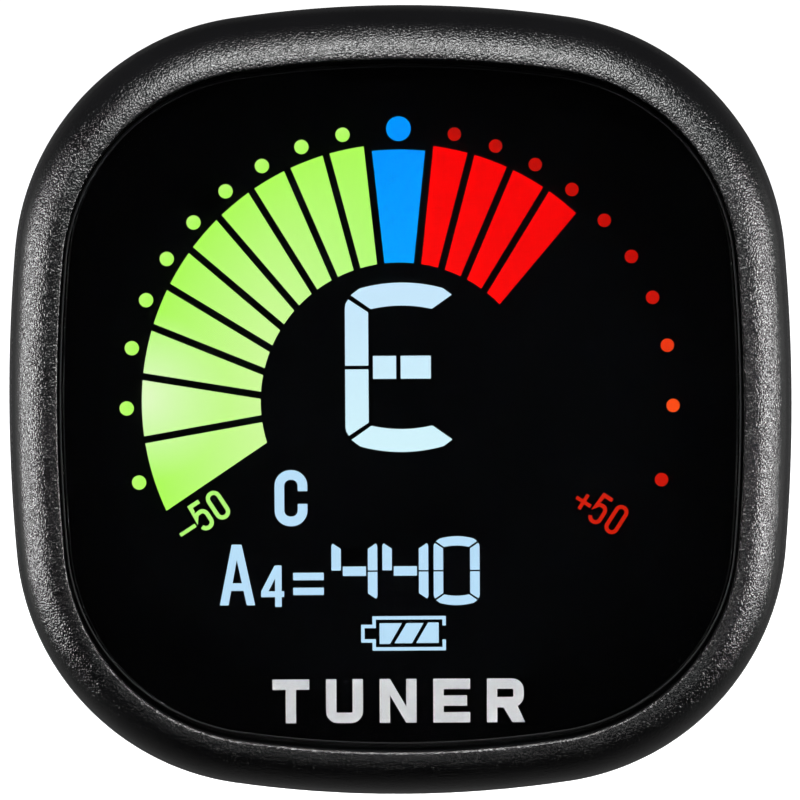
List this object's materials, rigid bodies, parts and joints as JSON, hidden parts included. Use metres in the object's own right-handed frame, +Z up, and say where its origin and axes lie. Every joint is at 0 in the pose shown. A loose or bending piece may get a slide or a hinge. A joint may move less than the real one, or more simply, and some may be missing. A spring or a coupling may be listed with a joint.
{
  "type": "clip-on instrument tuner",
  "caption": "Rounded-square tuner head with a round segment dial behind a gloss lens, on a swivel and two hinges over a sprung clip for a headstock.",
  "frame": {"origin": "middle of the fixed pad's grip face, which bears on the front of the headstock", "axes": "+Y is the grip face's normal, into the headstock; +Z is up along the jaws towards the levers; the display faces -Y"},
  "size_m": [0.05, 0.0482, 0.0504],
  "materials": {
    "bezel": "fine moulded texture, black",
    "lens": "gloss black window with a clear display area",
    "tape": "black adhesive foam",
    "lcd": "dark display glass",
    "white_plastic": "white",
    "light_guide": "clear acrylic, frosted back",
    "foil": "satin foil",
    "zebra": "striped conductive rubber",
    "led": "phosphor resin",
    "board": "green solder mask",
    "chip": "moulded epoxy",
    "steel": "zinc plated",
    "socket": "nickel plated",
    "tongue": "black",
    "battery": "pouch foil",
    "connector": "natural nylon",
    "lead_red": "PVC",
    "lead_black": "PVC",
    "brass": "rolled sheet",
    "ceramic": "silvered ceramic",
    "cover": "fine moulded texture, black",
    "button": "soft, satin",
    "plunger": "grey",
    "joint": "satin black",
    "nylon": "natural",
    "pad": "soft, matt",
    "wire": "bright spring steel"
  },
  "bodies": {
    "fixed_clip": {"fixed_jaw": "joint", "fixed_pad": "pad", "clip_pin": "steel", "clip_spring": "wire", "clip_hinge_screw": "steel", "clip_hinge_nut": "steel"},
    "moving_jaw": {"moving_jaw": "joint", "moving_pad": "pad"},
    "arm": {"arm": "joint"},
    "swivel_base": {"swivel_base": "joint", "retaining_washer": "steel", "swivel_screw": "steel", "tilt_screw": "steel", "tilt_nut": "steel"},
    "power_button": {"power_button": "button", "power_plunger": "plunger"},
    "mode_button": {"mode_button": "button", "mode_plunger": "plunger"},
    "up_button": {"up_button": "button", "up_plunger": "plunger"},
    "down_button": {"down_button": "button", "down_plunger": "plunger"},
    "head": {"front_bezel": "bezel", "lens": "lens", "lens_tape": "tape", "lcd_cell": "lcd", "lcd_frame": "white_plastic", "light_guide": "light_guide", "reflector_sheet": "foil", "zebra_strip": "zebra", "main_pcb": "board", "mcu_chip": "chip", "usb_socket": "socket", "usb_tongue": "tongue", "battery": "battery", "battery_connector": "connector", "battery_lead_red": "lead_red", "battery_lead_black": "lead_black", "piezo_plate": "brass", "piezo_ceramic": "ceramic", "rear_cover": "cover", "friction_washer": "nylon", "wave_spring": "wire", "backlight_led_1": "led", "backlight_led_2": "led", "backlight_led_3": "led", "case_screw_1": "steel", "case_screw_2": "steel", "case_screw_3": "steel", "case_screw_4": "steel", "power_switch": "chip", "mode_switch": "chip", "up_switch": "chip", "down_switch": "chip"}
  },
  "joints": [
    {"name": "jaw_open", "type": "hinge", "parent": "fixed_clip", "child": "moving_jaw", "pos_m": [0, 0.0025, 0.0155], "axis": [1, 0, 0], "range_deg": [0, 40], "stiffness_Nm_per_rad": 0.12, "springref_deg": -34.38, "deforming": ["clip_spring"]},
    {"name": "clip_hinge", "type": "hinge", "parent": "fixed_clip", "child": "arm", "pos_m": [0, -0.008, 0.009], "axis": [1, 0, 0], "range_deg": [-25, 25]},
    {"name": "head_tilt", "type": "hinge", "parent": "arm", "child": "swivel_base", "pos_m": [0, -0.016, 0.009], "axis": [1, 0, 0], "range_deg": [-15, 15]},
    {"name": "head_swivel", "type": "hinge", "parent": "swivel_base", "child": "head", "pos_m": [0, -0.0218, 0.009], "axis": [0, 1, 0], "continuous": true},
    {"name": "power_press", "type": "slide", "parent": "head", "child": "power_button", "axis": [0, -1, 0], "range_m": [0, 0.0003], "stiffness_N_per_m": 1500, "springref_m": -0.0002},
    {"name": "mode_press", "type": "slide", "parent": "head", "child": "mode_button", "axis": [0, -1, 0], "range_m": [0, 0.0003], "stiffness_N_per_m": 1500, "springref_m": -0.0002},
    {"name": "up_press", "type": "slide", "parent": "head", "child": "up_button", "axis": [0, -1, 0], "range_m": [0, 0.0003], "stiffness_N_per_m": 1500, "springref_m": -0.0002},
    {"name": "down_press", "type": "slide", "parent": "head", "child": "down_button", "axis": [0, -1, 0], "range_m": [0, 0.0003], "stiffness_N_per_m": 1500, "springref_m": -0.0002}
  ]
}
